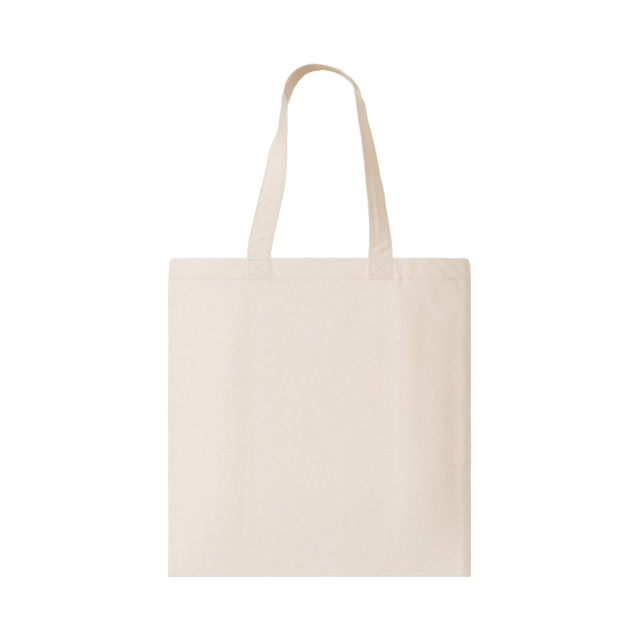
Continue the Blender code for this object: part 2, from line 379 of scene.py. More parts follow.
def make_needle_group():
    group, given, result = new_group(
        "needle_marks",
        (
            ("Cloth", "NodeSocketVector", None),
            ("Box Middle", "NodeSocketFloat", 0.0),
            ("Hem Row", "NodeSocketFloat", 0.0),
        ),
        (("Mask", "NodeSocketFloat"),),
    )
    split = group.nodes.new("ShaderNodeSeparateXYZ")
    group.links.new(given.outputs["Cloth"], split.inputs["Vector"])
    shift = stretched_noise(group, given.outputs["Cloth"], 1.0, (260, 260, 1), 1.0)
    jitter = maths(group, "MULTIPLY", maths(group, "SUBTRACT", shift, 0.5), 0.0024)
    along = maths(group, "ABSOLUTE", split.outputs["Y"])
    from_strap = maths(group, "SUBTRACT", maths(group, "ABSOLUTE", split.outputs["X"]), STRAP_X)
    x = maths(group, "ADD", from_strap, jitter)
    y = maths(group, "SUBTRACT", along, given.outputs["Box Middle"])
    wide, tall = maths(group, "ABSOLUTE", x), maths(group, "ABSOLUTE", y)
    half_wide, half_tall = (BOX_HIGH.x - BOX_LOW.x) / 2, (BOX_HIGH.z - BOX_LOW.z) / 2

    def dots(off_line, along_line, size, phase):
        """Dots along a line, from the distances off it and along it."""
        step = maths(group, "ADD", maths(group, "DIVIDE", along_line, NEEDLE_PITCH), phase)
        within_step = maths(group, "SUBTRACT", maths(group, "FRACT", step), 0.5)
        off_hole = maths(group, "MULTIPLY", within_step, NEEDLE_PITCH)
        squares = [maths(group, "POWER", distance, 2) for distance in (off_line, off_hole)]
        gap = maths(group, "SQRT", maths(group, "ADD", *squares))
        return remap(group, gap, size * 0.35, size, 1.0, 0.0)

    inside_wide = maths(group, "LESS_THAN", wide, half_wide + 0.0004)
    inside_tall = maths(group, "LESS_THAN", tall, half_tall + 0.0004)
    inside = maths(group, "MULTIPLY", inside_wide, inside_tall)
    uprights = dots(maths(group, "ABSOLUTE", maths(group, "SUBTRACT", wide, half_wide)), y, 0.0010, 0.25)
    levels = dots(maths(group, "ABSOLUTE", maths(group, "SUBTRACT", tall, half_tall)), x, 0.0010, 0.25)
    slope = half_tall / half_wide
    lean = sqrt(1 + slope**2)
    above_diagonal = maths(group, "MULTIPLY_ADD", wide, slope, maths(group, "MULTIPLY", tall, -1))
    off_diagonal = maths(group, "DIVIDE", maths(group, "ABSOLUTE", above_diagonal), lean)
    crossed = dots(off_diagonal, maths(group, "MULTIPLY", wide, lean), 0.0011, 0.0)
    square = maths(group, "MAXIMUM", uprights, levels)
    box = maths(group, "MULTIPLY", maths(group, "MAXIMUM", square, crossed), inside)
    below = maths(group, "ABSOLUTE", maths(group, "SUBTRACT", along, given.outputs["Hem Row"]))
    hem = maths(group, "MULTIPLY", dots(below, split.outputs["X"], 0.0008, 0.0), 0.55)
    uneven = stretched_noise(group, given.outputs["Cloth"], 1.0, (190, 190, 1), 1.0)
    shown = remap(group, uneven, 0.38, 0.66, 0.05, 1.0)
    group.links.new(maths(group, "MULTIPLY", maths(group, "MAXIMUM", box, hem), shown), result.inputs["Mask"])
    return group


NEEDLE = make_needle_group()
print("needle mark group:", len(NEEDLE.nodes), "nodes")

# %% [markdown]
# ## The finishes
#
# The body and the straps are the same natural canvas. Thin cotton lets a little light through, so it looks
# paler where it is single and deeper where more layers lie behind it: under the hem, the strap ends and the
# seam allowances. Each vertex keeps that in an attribute, which also holds painted shade: the strap ends and
# allowances are set deeper towards the right, the side turned from the light. The material mixes its two
# shades by it. The straps use it too, as painted shade on the foot of each right leg and on the top of the
# loops. Broad soft patches, a touch pinker or yellower, come from slow noise, as undyed cloth has.

# %% Make the canvas and thread materials
PALE = (0.870, 0.800, 0.745)
PINKISH = (0.880, 0.795, 0.752)
DEEP = (0.800, 0.700, 0.615)
FLECK_AND_HOLE_SHADE_BROWN = (0.30, 0.20, 0.12)


def place_group(tree, group, cloth, **values):
    node = tree.nodes.new("ShaderNodeGroup")
    node.node_tree = group
    tree.links.new(cloth, node.inputs["Cloth"])
    for label, value in values.items():
        node.inputs[label].default_value = value
    return node


def make_canvas(name, pale, pinkish, deep, pitch, yarn_depth, sewn=False):
    """A cotton canvas: colour from patches, layers, painted shade, streaks, slubs and flecks, bump from the
    yarns.
    """
    made = bpy.data.materials.new(name)
    made.use_nodes = True
    tree = made.node_tree
    shader = tree.nodes["Principled BSDF"]
    uv = tree.nodes.new("ShaderNodeUVMap")
    uv.uv_map = "cloth"
    cloth = uv.outputs["UV"]
    weave = place_group(tree, WEAVE, cloth, Pitch=pitch)
    large_flecks = place_group(tree, FLECKS, cloth, Cells=72.0, Share=0.07, Size=0.048)
    small_flecks = place_group(tree, FLECKS, cloth, Cells=230.0, Share=0.20, Size=0.085)
    slubs = place_group(tree, SLUBS, cloth)

    patches = stretched_noise(tree, cloth, 1.0, (16, 11, 1), 2.0)
    colour = blend_colours(tree, remap(tree, patches, 0.38, 0.62, 0.0, 1.0), pale, pinkish)
    # This attribute deepens the colour over layers behind the cloth, and also holds painted shade on the
    # right side and on the straps.
    layers_and_painted_shade = tree.nodes.new("ShaderNodeAttribute")
    layers_and_painted_shade.attribute_name = "layers_and_painted_shade"
    colour = blend_colours(tree, layers_and_painted_shade.outputs["Fac"], colour, deep)
    streak_shade = remap(tree, weave.outputs["Yarn"], 0.34, 0.66, 0.968, 1.022)
    grey = tree.nodes.new("ShaderNodeCombineColor")
    for channel in ("Red", "Green", "Blue"):
        tree.links.new(streak_shade, grey.inputs[channel])
    colour = blend_colours(tree, 1.0, colour, grey.outputs["Color"], "MULTIPLY")
    slub_share = maths(tree, "MULTIPLY", slubs.outputs["Mask"], 0.22)
    colour = blend_colours(tree, slub_share, colour, deep)
    # The gaps between the yarns are darkened: painted shade in the hollows of the weave.
    painted_gap_shade = maths(tree, "MULTIPLY", weave.outputs["Gaps"], 0.20)
    colour = blend_colours(tree, painted_gap_shade, colour, tuple(c * 0.77 for c in deep))
    fleck = maths(tree, "MAXIMUM", large_flecks.outputs["Mask"], small_flecks.outputs["Mask"])
    colour = blend_colours(tree, maths(tree, "MULTIPLY", fleck, 0.85), colour, FLECK_AND_HOLE_SHADE_BROWN)
    if sewn:
        needle = place_group(tree, NEEDLE, cloth, **{"Box Middle": BOX_ALONG, "Hem Row": HEM_ALONG})
        # Each needle hole is darkened with the fleck brown: painted shade in the hole.
        painted_hole_shade = maths(tree, "MULTIPLY", needle.outputs["Mask"], 0.44)
        colour = blend_colours(tree, painted_hole_shade, colour, FLECK_AND_HOLE_SHADE_BROWN)
    tree.links.new(colour, shader.inputs["Base Color"])

    rough = remap(tree, weave.outputs["Yarn"], 0.3, 0.7, 0.93, 0.82)
    tree.links.new(rough, shader.inputs["Roughness"])
    shader.inputs["Sheen Weight"].default_value = 0.12
    shader.inputs["Sheen Roughness"].default_value = 0.5
    shader.inputs["Specular IOR Level"].default_value = 0.25

    crumple = stretched_noise(tree, cloth, 1.0, (55, 38, 1), 3.0, 0.55)
    relief = maths(tree, "MULTIPLY_ADD", slubs.outputs["Mask"], 0.5, weave.outputs["Height"])
    soft = tree.nodes.new("ShaderNodeBump")
    soft.inputs["Distance"].default_value = 0.0007
    soft.inputs["Strength"].default_value = 0.35
    tree.links.new(crumple, soft.inputs["Height"])
    bump = tree.nodes.new("ShaderNodeBump")
    bump.inputs["Distance"].default_value = yarn_depth
    bump.inputs["Strength"].default_value = 0.55
    tree.links.new(relief, bump.inputs["Height"])
    tree.links.new(soft.outputs["Normal"], bump.inputs["Normal"])
    tree.links.new(bump.outputs["Normal"], shader.inputs["Normal"])
    return made


def make_thread(name, colour):
    """Spun cotton thread: fine slanting twist from a wave on Object coordinates."""
    made = bpy.data.materials.new(name)
    made.use_nodes = True
    tree = made.node_tree
    shader = tree.nodes["Principled BSDF"]
    place = tree.nodes.new("ShaderNodeTexCoord")
    twist = tree.nodes.new("ShaderNodeTexWave")
    twist.wave_type = "BANDS"
    twist.bands_direction = "DIAGONAL"
    twist.inputs["Scale"].default_value = 700
    twist.inputs["Distortion"].default_value = 1.5
    tree.links.new(place.outputs["Object"], twist.inputs["Vector"])
    # Every second band of the twist is darkened: painted shade in the grooves between the plies.
    shade = remap(tree, twist.outputs["Fac"], 0.1, 0.9, 0.0, 1.0)
    twisted = blend_colours(tree, shade, tuple(c * 0.86 for c in colour), colour)
    tree.links.new(twisted, shader.inputs["Base Color"])
    shader.inputs["Roughness"].default_value = 0.75
    shader.inputs["Sheen Weight"].default_value = 0.15
    bump = tree.nodes.new("ShaderNodeBump")
    bump.inputs["Distance"].default_value = 0.0001
    bump.inputs["Strength"].default_value = 0.5
    tree.links.new(twist.outputs["Fac"], bump.inputs["Height"])
    tree.links.new(bump.outputs["Normal"], shader.inputs["Normal"])
    return made


CANVAS = make_canvas("natural_canvas", PALE, PINKISH, DEEP, 0.00078, 0.00012, sewn=True)
STRAP_CANVAS = make_canvas("strap_canvas", PALE, PINKISH, DEEP, 0.00078, 0.00012)
THREAD = make_thread("sewing_thread", (0.86, 0.80, 0.72))
print("materials:", CANVAS.name, STRAP_CANVAS.name, THREAD.name)

# %% [markdown]
# ## The bag's form
#
# Before the cloth is cut, the bag's overall form is settled: how far each panel stands from the middle
# plane. It follows the CAD panels. Both panels meet at the side seams and at the bottom fold, and fill out
# between them.

# %% Define the form
SIDE_TURN = 0.0006  # radius at which the cloth turns in at a side seam
X_TURN = HALF_WIDTH - CLOTH / 2 - SIDE_TURN
UP_BOTTOM = CLOTH / 2 + SEAM_HALF
PLATEAU_HALF = PLATEAU - 0.0004
MOUTH_HALF = PLATEAU_HALF - 0.0020
SIDE_RISE = 0.080
BOTTOM_RISE = 0.120
MOUTH_TAPER = 0.100
EDGE_EASE = 0.003


def rise(distance, length):
    """From 0 at a seam to 1 at that length from it, after a soft start."""
    eased = np.sqrt(np.clip(distance, 0, None) ** 2 + EDGE_EASE**2) - EDGE_EASE
    return np.sin(np.clip(eased / length, 0, 1) * pi / 2)


def form_depth(x, up):
    """How far the middle of a panel's cloth stands from the bag's middle plane, before it is hung."""
    taper = np.clip((up - HEIGHT) / MOUTH_TAPER + 1, 0, None)
    crown = PLATEAU_HALF - (PLATEAU_HALF - MOUTH_HALF) * taper
    fill = rise(X_TURN - np.abs(x), SIDE_RISE) * rise(up - UP_BOTTOM, BOTTOM_RISE)
    return SEAM_HALF + (crown - SEAM_HALF) * fill


print(f"half depth: mouth {MOUTH_HALF:.4f}, middle {PLATEAU_HALF:.4f} m")

# %% [markdown]
# ## Hanging the cloth
#
# An empty bag hangs in soft, slow waves. They come from a cloth simulation of a light pillowcase in the
# bag's form: front and rear share their side columns and bottom row, the four patches where the straps are
# sewn are held still, and the cloth is cut a little larger than the form, so that it has slack to lie in.
# Left to itself the pillowcase pulls its sides in more than a sewn bag does, so only a little of its
# movement is kept, nearly all of it in depth, and it eases off towards the side seams and the top edge.

# %% Simulate the hang
FORM_COLUMNS = 49
FORM_ROWS = 51


def held_share(x, up):
    """1 where a strap end holds the cloth, falling off to 0 around it."""
    aside = max(0.0, abs(abs(x) - STRAP_X) - STRAP_WIDTH / 2)
    below = max(0.0, HEIGHT - SEWN_LENGTH - up)
    return max(0.0, 1 - hypot(aside, below) / 0.012)


def make_pillowcase():
    """The form as one sheet: two grids that share their edges, and each grid's vertex numbers."""
    points, faces, held, numbers = [], [], [], {}
    xs = np.linspace(-HALF_WIDTH, HALF_WIDTH, FORM_COLUMNS)
    ups = np.linspace(0, HEIGHT, FORM_ROWS)
    for side in (FRONT, REAR):
        for r, up in enumerate(ups):
            for c, x in enumerate(xs):
                on_edge = r == 0 or c in (0, FORM_COLUMNS - 1)
                if on_edge and side == REAR:
                    numbers[side, r, c] = numbers[FRONT, r, c]
                    continue
                numbers[side, r, c] = len(points)
                depth = 0.0 if on_edge else side * float(form_depth(x, up))
                points.append((x, depth, Z_BOTTOM + up))
                held.append(held_share(x, up))
        for r in range(FORM_ROWS - 1):
            for c in range(FORM_COLUMNS - 1):
                corners = [numbers[side, r + a, c + b] for a, b in ((0, 0), (0, 1), (1, 1), (1, 0))]
                faces.append(corners if side == FRONT else corners[::-1])
    mesh = bpy.data.meshes.new("pillowcase")
    mesh.from_pydata(points, [], faces)
    obj = bpy.data.objects.new("pillowcase", mesh)
    bpy.context.scene.collection.objects.link(obj)
    group = obj.vertex_groups.new(name="held")
    for i, share in enumerate(held):
        if share > 0:
            group.add([i], share, "REPLACE")
    return obj, numbers


def hang(obj, frames):
    """Runs the cloth simulation and returns the points of its last frame."""
    cloth = obj.modifiers.new("Cloth", "CLOTH").settings
    cloth.quality = 7
    cloth.mass = 0.12
    cloth.tension_stiffness = cloth.compression_stiffness = 25
    cloth.shear_stiffness = 12
    cloth.bending_stiffness = 0.9
    cloth.tension_damping = cloth.compression_damping = cloth.shear_damping = 12
    cloth.bending_damping = 1.5
    cloth.air_damping = 2.5
    cloth.vertex_group_mass = "held"
    cloth.shrink_min = -0.006
    cloth.use_pressure = True
    cloth.uniform_pressure_force = 0.35
    obj.modifiers["Cloth"].collision_settings.use_self_collision = False
    obj.modifiers["Cloth"].point_cache.frame_end = frames
    scene = bpy.context.scene
    for number in range(1, frames + 1):
        scene.frame_set(number)
    hung = obj.evaluated_get(bpy.context.evaluated_depsgraph_get()).data
    points = np.array([v.co for v in hung.vertices])
    scene.frame_set(1)
    return points


pillowcase, numbers = make_pillowcase()
start_points = np.array([v.co for v in pillowcase.data.vertices])
hung_points = hang(pillowcase, 30)
bpy.data.objects.remove(pillowcase, do_unlink=True)
MOST_SWAY = 0.0016
in_from_side = HALF_WIDTH - np.abs(start_points[:, :1])
below_top = Z_TOP - start_points[:, 2:]
eased = np.clip(in_from_side / 0.045, 0, 1) * np.clip(0.15 + below_top / 0.060, 0, 1)
sway = MOST_SWAY * np.tanh((hung_points - start_points) / 0.012) * (0.05, 1.0, 0.0) * eased
print(f"the hang moves the cloth by up to {np.abs(sway).max() * 1000:.1f} mm")
SWAY = {}
for side in (FRONT, REAR):
    picked = [[numbers[side, r, c] for c in range(FORM_COLUMNS)] for r in range(FORM_ROWS)]
    SWAY[side] = sway[np.array(picked)]

# %% [markdown]
# ## Folds and creases
#
# Over the hang come the folds that the bag got from being sewn and packed. Each is a line of points on the
# panel, given as distance right of the middle and height above the bottom in millimetres, with its width
# and how far it lifts the cloth. A ridge has a positive lift and a valley a negative one.

# %% List the folds and measure them
FRONT_FOLDS = (
    # points, width, lift
    (((90, 399), (94, 388), (97, 376), (97, 360)), 3.6, 0.75),
    (((96, 399), (101, 390), (104, 378), (103, 362)), 3.4, -0.8),
    (((99, 350), (99.5, 300), (100, 240), (99, 180), (99.5, 121)), 3.0, 0.45),
    (((12, 399), (12.5, 370), (12, 345)), 2.2, -0.25),
    (((13, 349), (8, 310), (1, 266)), 3.5, -0.30),
    (((-43, 315), (-47, 290), (-49.5, 266)), 3.5, -0.28),
    (((-69, 373), (-69.5, 361), (-69.6, 349)), 2.5, -0.30),
    (((62, 366), (54, 335), (47, 305), (41, 275)), 13.0, -0.9),
    (((22, 399), (38, 392), (50, 383), (60, 372)), 3.4, -0.8),
    (((26, 394), (42, 385), (54, 374)), 3.4, 0.5),
    (((-106, 399), (-99, 394), (-92, 386)), 2.0, -0.6),
    (((-94, 398), (-93, 388), (-96, 374)), 3.0, 0.4),
    (((-89, 398), (-90, 384), (-97, 356)), 3.0, -0.5),
    (((128, 399), (143, 388), (156, 377), (166, 370)), 3.2, 0.9),
    (((136, 399), (150, 391), (160, 382), (170, 376)), 3.6, -0.9),
    (((146, 399), (162, 390), (178, 374), (184, 364)), 3.0, 0.9),
    (((160, 399), (170, 393), (180, 384)), 3.4, -0.9),
    (((169, 374), (178, 362), (184, 350)), 4.0, -0.9),
    (((150, 368), (163, 369), (178, 375)), 3.4, -0.6),
    (((134, 352), (150, 337), (166, 319)), 3.0, 0.7),
    (((129, 345), (138, 333), (147, 318)), 5.0, -0.8),
    (((143, 354), (153, 347), (165, 341)), 9.0, -1.2),
    (((153, 345), (161, 333), (169, 321)), 3.0, 0.55),
    (((120, 398), (122, 380), (121, 365)), 6.0, -0.7),
    (((110, 398), (112, 384), (112, 372)), 5.0, 0.5),
    (((153, 216), (162, 202), (170, 190)), 3.5, -0.4),
    (((-148, 47), (-100, 44), (-48, 41)), 5.0, -0.25),
    (((176, 32), (179, 20), (181, 7)), 3.0, 0.6),
    (((128, 360), (131, 300), (129, 230), (132, 150)), 12.0, -0.9),
    (((152, 300), (155, 240), (152, 170), (156, 100)), 9.0, 0.6),
    (((170, 330), (168, 260), (171, 180), (169, 90)), 7.0, -0.6),
)
REAR_FOLDS = (
    (((-92, 399), (-97, 380), (-100, 350)), 4.5, 1.0),
    (((90, 399), (96, 378), (98, 352)), 4.0, -0.9),
    (((-140, 396), (-160, 378), (-178, 356)), 5.0, 0.9),
    (((40, 300), (30, 250), (35, 200)), 12.0, -0.8),
    (((-60, 340), (-52, 280), (-58, 200)), 9.0, 0.6),
    (((120, 350), (126, 280), (122, 180)), 10.0, -0.8),
    (((10, 399), (12, 372), (11, 345)), 3.0, -0.4),
)


def fold_height(x, up, folds):
    """How far the folds lift the cloth at those places, in metres: x and up are arrays in metres."""
    lift = np.zeros(np.broadcast(x, up).shape)
    place = np.stack(np.broadcast_arrays(x, up), -1) / MM
    for points, width, height in folds:
        line = np.array(points, float)
        lengths = np.hypot(*np.diff(line, axis=0).T)
        total, walked = lengths.sum(), 0.0
        nearest = np.full(lift.shape, np.inf)
        share = np.zeros(lift.shape)
        for start, end, length in zip(line, line[1:], lengths):
            t = np.clip(((place - start) @ (end - start)) / length**2, 0, 1)
            distance = np.linalg.norm(place - (start + t[..., None] * (end - start)), axis=-1)
            closer = distance < nearest
            share = np.where(closer, (walked + t * length) / total, share)
            nearest = np.minimum(distance, nearest)
            walked += length
        fade = np.clip(np.sin(share * pi), 0, 1) ** 0.5 * 0.8 + 0.2
        lift += height * MM * fade * np.exp(-((nearest / width) ** 2))
    return lift


print(len(FRONT_FOLDS), "folds on the front,", len(REAR_FOLDS), "on the rear")

# %% [markdown]
# ## What shows through from behind
#
# The strap ends, the hem and the seam allowances lie inside, and press their outlines through the cloth.
# Each is a flat patch with soft edges. The same patches set the attribute that deepens the canvas there. It
# is set stronger towards the right, as painted shade on that side as well as for the layers.

# %% Measure the layers behind the cloth
SEWN_LOW = HEIGHT - SEWN_LENGTH


def soft_step(value, edge, width):
    """0 below the edge and 1 above it, over a width."""
    t = np.clip((value - edge) / width + 0.5, 0, 1)
    return t * t * (3 - 2 * t)


def strap_patch(x, up, soft=0.0012):
    """1 over the sewn strap ends and 0 off them."""
    patch = 0
    for centre in (-STRAP_X, STRAP_X):
        inside = soft_step(STRAP_WIDTH / 2 - np.abs(x - centre), 0, soft)
        patch = patch + inside * soft_step(up, SEWN_LOW, soft)
    return patch


def allowance_patch(x, soft=0.0012):
    return soft_step(np.abs(x), HALF_WIDTH - ALLOWANCE, soft)


def ripple(x, up, scale, seed):
    """Smooth irregular waves between about -1 and 1, from a few sines that share no period."""
    rng = np.random.default_rng(seed)
    total = 0
    for _ in range(6):
        angle, phase = rng.uniform(0, pi), rng.uniform(0, 2 * pi)
        length = scale * rng.uniform(0.6, 1.7)
        total = total + np.sin(2 * pi * (x * cos(angle) + up * sin(angle)) / length + phase)
    return total / 3.5


def relief(x, up, side):
    """How far the panel stands out from the form: layers behind it, sewn lines, puckers and folds."""
    height = 0.0007 * strap_patch(x, up)
    height = height + 0.0003 * soft_step(up, HEIGHT - HEM_DEPTH, 0.0015)
    height = height + 0.0005 * allowance_patch(x)
    height = height - 0.00030 * np.exp(-(((up - HEM_LINE) / 0.0011) ** 2))
    pucker = np.exp(-np.abs(up - HEM_LINE) / 0.010)
    height = height + 0.00022 * pucker * ripple(x, up * 0.35, 0.011, 11 + side)
    near_seam = np.exp(-(HALF_WIDTH - np.abs(x)) / 0.018)
    height = height + 0.00050 * near_seam * ripple(x * 0.4, up, 0.030, 21 + side)
    height = height + 0.00032 * ripple(x, up, 0.075, 31 + side)
    near_bottom = np.exp(-up / 0.016)
    height = height + 0.00045 * near_bottom * ripple(x, up * 0.4, 0.034, 41 + side)
    height = height + fold_height(x, up, FRONT_FOLDS if side == FRONT else REAR_FOLDS)
    at_side = soft_step(X_TURN - np.abs(x), 0.002, 0.004)
    at_bottom = soft_step(up - UP_BOTTOM, 0.002, 0.004)
    return height * at_side * at_bottom


def layers_and_painted_shade(x, up):
    """How strongly the cloth's colour is deepened, from 0 to 1: by the layers behind, and by painted shade on
    the right.
    """
    hem = soft_step(up, HEIGHT - HEM_DEPTH, 0.001)
    # Towards the right, strap ends and seam allowances are set deeper: painted shade on the side turned from
    # the light.
    right = soft_step(x, 0.0, 0.160)
    strap_end_and_painted_shade = (0.10 + 0.32 * right) * strap_patch(x, up)
    return np.clip(0.03 * hem + strap_end_and_painted_shade + (0.15 + 0.80 * right) * allowance_patch(x, 0.004), 0, 1)


print(f"hem stitched at {HEM_LINE * 1000:.1f} mm above the bottom")

# %% [markdown]
# ## A place on the cloth
#
# Everything sewn to the bag needs the same answer: where is this spot of the panel, and which way does it
# face? This function gives both, from the form, its hang and its relief, so that the cloth, the straps'
# ends and every stitch agree to a hair.

# %% Find a place on a panel
CORNER_ROUND = 0.0042


def between_rows(grid, row, column):
    """Smooth values of a grid of vectors at fractional rows and columns."""
    def weights(t):
        return (
            -0.5 * t + t**2 - 0.5 * t**3, 1 - 2.5 * t**2 + 1.5 * t**3, 0.5 * t + 2 * t**2 - 1.5 * t**3,
            -0.5 * t**2 + 0.5 * t**3,
        )  # fmt: skip
    last_row, last_column = grid.shape[0] - 1, grid.shape[1] - 1
    r = np.clip(np.floor(row).astype(int), 0, last_row - 1)
    c = np.clip(np.floor(column).astype(int), 0, last_column - 1)
    total = 0
    for i, row_weight in enumerate(weights(row - r)):
        for j, column_weight in enumerate(weights(column - c)):
            value = grid[np.clip(r + i - 1, 0, last_row), np.clip(c + j - 1, 0, last_column)]
            total = total + value * (row_weight * column_weight)[..., None]
    return total


def corner_inset(up):
    """How far the bag's outline draws in towards its rounded corners."""
    below_top = HEIGHT - np.asarray(up, float)
    at_top = 0.0028 * np.exp(-below_top / 0.014) + 0.0030 * np.exp(-below_top / 0.0016)
    short = np.clip(CORNER_ROUND - up, 0, CORNER_ROUND)
    return at_top + CORNER_ROUND - np.sqrt(CORNER_ROUND**2 - short**2 * 0.9)


def wander(x, up):
    """How far the seams stray from straight: both panels move together, in x and y."""
    near_side = np.exp(-(HALF_WIDTH - np.abs(x)) / 0.030)
    near_bottom = np.exp(-np.clip(up, 0, None) / 0.030)
    hand = np.where(x < 0, 5, 6)
    sideways = 0.0004 * near_side * np.where(hand == 5, ripple(0, up, 0.090, 51), ripple(0, up, 0.080, 52))
    deep = 0.0007 * near_side * np.where(hand == 5, ripple(0, up, 0.120, 53), ripple(0, up, 0.110, 54))
    deep = deep + 0.0006 * near_bottom * ripple(x, 0, 0.150, 55)
    down = 0.0003 * near_bottom * ripple(x, 0, 0.090, 56)
    sideways = sideways - np.sign(x) * corner_inset(up) * np.exp(-(HALF_WIDTH - np.abs(x)) / 0.020)
    return np.stack(np.broadcast_arrays(sideways, deep, down), -1)


def panel_point(x, up, side):
    """The middle of the panel's cloth at that place, with no relief."""
    x, up = np.broadcast_arrays(np.asarray(x, float), np.asarray(up, float))
    base = np.stack([x, side * form_depth(x, up), Z_BOTTOM + up], -1)
    column = np.clip((x + HALF_WIDTH) / (2 * HALF_WIDTH), 0, 1) * (FORM_COLUMNS - 1)
    row = np.clip(up / HEIGHT, 0, 1) * (FORM_ROWS - 1)
    return base + between_rows(SWAY[side], row, column) + wander(x, up)


def panel_normal(x, up, side, step=0.0015):
    """The way the panel faces there, outwards."""
    right = panel_point(x + step, up, side) - panel_point(x - step, up, side)
    above = panel_point(x, up + step, side) - panel_point(x, up - step, side)
    normal = np.cross(right, above) * -side
    return normal / np.linalg.norm(normal, axis=-1, keepdims=True)


def on_panel(x, up, side, out=0.0):
    """A place on the panel, relief included, moved out along its normal."""
    x, up = np.broadcast_arrays(np.asarray(x, float), np.asarray(up, float))
    lift = (relief(x, up, side) + out)[..., None]
    return panel_point(x, up, side) + panel_normal(x, up, side) * lift


print("middle of the front panel:", on_panel(0, HEIGHT / 2, FRONT).round(4))

# %% [markdown]
# ## The body cloth
#
# The body is one cut of canvas, about 40 by 88 cm. It is folded in half at the bottom. Its long sides are
# turned in by a centimetre and sewn, and its short ends are folded in, with their raw edge tucked under, to
# make the hem. It could be made as separate panels, but one sheet has no gaps at its folds and its weave
# runs through them, so a flat grid is made at the cut's size and each of its points is moved to where the
# folding takes it.

# %% Plan the cut
TOP_TURN = 0.0007
TUCK_TURN = 0.00035
TUCK_LENGTH = 0.008
HEM_HALF = 0.186  # the hem's flap is notched away beyond this, where the seam allowances need the room
UP_TURN = HEIGHT - CLOTH / 2 - TOP_TURN
UP_FLAP = HEIGHT - HEM_DEPTH + TUCK_TURN + CLOTH / 2

# Distances along the cut: from the bottom fold to each change, and from the middle out to each change.
V_BOTTOM = pi / 2 * SEAM_HALF
V_TOP = V_BOTTOM + UP_TURN - UP_BOTTOM
V_FLAP = V_TOP + pi * TOP_TURN
V_TUCK = V_FLAP + UP_TURN - UP_FLAP
V_UNDER = V_TUCK + pi * TUCK_TURN
V_EDGE = V_UNDER + TUCK_LENGTH
U_ALLOWANCE = X_TURN + pi * SIDE_TURN
U_EDGE = U_ALLOWANCE + X_TURN - (HALF_WIDTH - ALLOWANCE)
print(f"the cut is {2 * U_EDGE:.3f} x {2 * V_EDGE:.3f} m")


# %% Fold the cut
def fold_cut(u, v):
    """Where a point of the flat cut lies on the bag: u runs across it and v along it, from its middle."""
    hand, side = np.where(u < 0, -1, 1), np.where(v < 0, FRONT, REAR)
    across, along = np.abs(u), np.abs(v)
    turned = np.clip((across - X_TURN) / SIDE_TURN, 0, pi)
    beside = SIDE_TURN * np.sin(turned) - np.clip(across - U_ALLOWANCE, 0, None)
    drawn_in = SIDE_TURN * (1 - np.cos(turned))

    over_top = np.clip((along - V_TOP) / TOP_TURN, 0, pi)
    tucked = np.clip((along - V_TUCK) / TUCK_TURN, 0, pi)
    up = UP_BOTTOM + np.clip(along - V_BOTTOM, 0, V_TOP - V_BOTTOM) + TOP_TURN * np.sin(over_top)
    up = up - np.clip(along - V_FLAP, 0, V_TUCK - V_FLAP)
    up = up - TUCK_TURN * np.sin(tucked) + np.clip(along - V_UNDER, 0, None)
    out = TUCK_TURN * (1 - np.cos(tucked)) - TOP_TURN * (1 - np.cos(over_top))

    x = hand * np.minimum(across, X_TURN)
    places = np.where((side == FRONT)[..., None], on_panel(x, up, FRONT, out), on_panel(x, up, REAR, out))
    round_bottom = np.clip(along / SEAM_HALF, 0, pi / 2)
    radius = SEAM_HALF - drawn_in
    places[..., 0] += hand * beside
    places[..., 1] -= side * (drawn_in + radius * (1 - np.sin(round_bottom)))
    places[..., 2] -= radius * np.cos(round_bottom)
    return places, up


def lines(*marks):
    """Grid lines through the marks, which are places with the widest spacing allowed between each two."""
    found = [marks[0]]
    for start, spacing, end in zip(marks[0::2], marks[1::2], marks[2::2]):
        steps = max(1, ceil((end - start) / spacing - 0.001))
        found.extend(start + (end - start) * (i + 1) / steps for i in range(steps))
    return np.array(found)


def mirrored(half):
    return np.concatenate([-half[:0:-1], half])


ACROSS = mirrored(lines(
    0, 3.6 * MM, 0.060, 1.3 * MM, 0.0925, 1.9 * MM, 0.112, 3.2 * MM, HEM_HALF, 1.6 * MM, X_TURN,
    SIDE_TURN * pi / 6, U_ALLOWANCE, 2.4 * MM, U_EDGE,
))  # fmt: skip
HEM_LINES = lines(
    V_TOP, TOP_TURN * pi / 5, V_FLAP, 4.5 * MM, V_TUCK, TUCK_TURN * pi / 4, V_UNDER, 4 * MM, V_EDGE,
)  # fmt: skip
FRONT_LINES = lines(
    0, SEAM_HALF * pi / 6, V_BOTTOM, 1.5 * MM, along_at(0.010), 4 * MM, along_at(0.300), 2.6 * MM,
    along_at(0.372), 1.25 * MM, V_TOP,
)  # fmt: skip
REAR_LINES = lines(
    0, SEAM_HALF * pi / 6, V_BOTTOM, 1.5 * MM, along_at(0.010), 6 * MM, along_at(0.330), 3.4 * MM,
    along_at(0.372), 1.6 * MM, V_TOP,
)  # fmt: skip
ALONG = np.concatenate([-HEM_LINES[:0:-1], -FRONT_LINES[::-1], REAR_LINES[1:], HEM_LINES[1:]])
print(len(ACROSS), "lines across,", len(ALONG), "lines along")


# %% Make the body cloth
def deselect_all():
    for obj in list(bpy.context.selected_objects):
        obj.select_set(False)


def keep_vertex_values(mesh, name, values):
    layer = mesh.attributes.new(name, "FLOAT", "POINT")
    layer.data.foreach_set("value", np.asarray(values, np.float32).ravel())


def set_cloth_uv(mesh, flat):
    """A UV map named cloth that holds each vertex's place on the flat cut, in metres."""
    layer = mesh.uv_layers.get("cloth") or mesh.uv_layers.new(name="cloth")
    corners = np.empty(len(mesh.loops), np.int32)
    mesh.loops.foreach_get("vertex_index", corners)
    layer.data.foreach_set("uv", flat[corners].astype(np.float32).ravel())


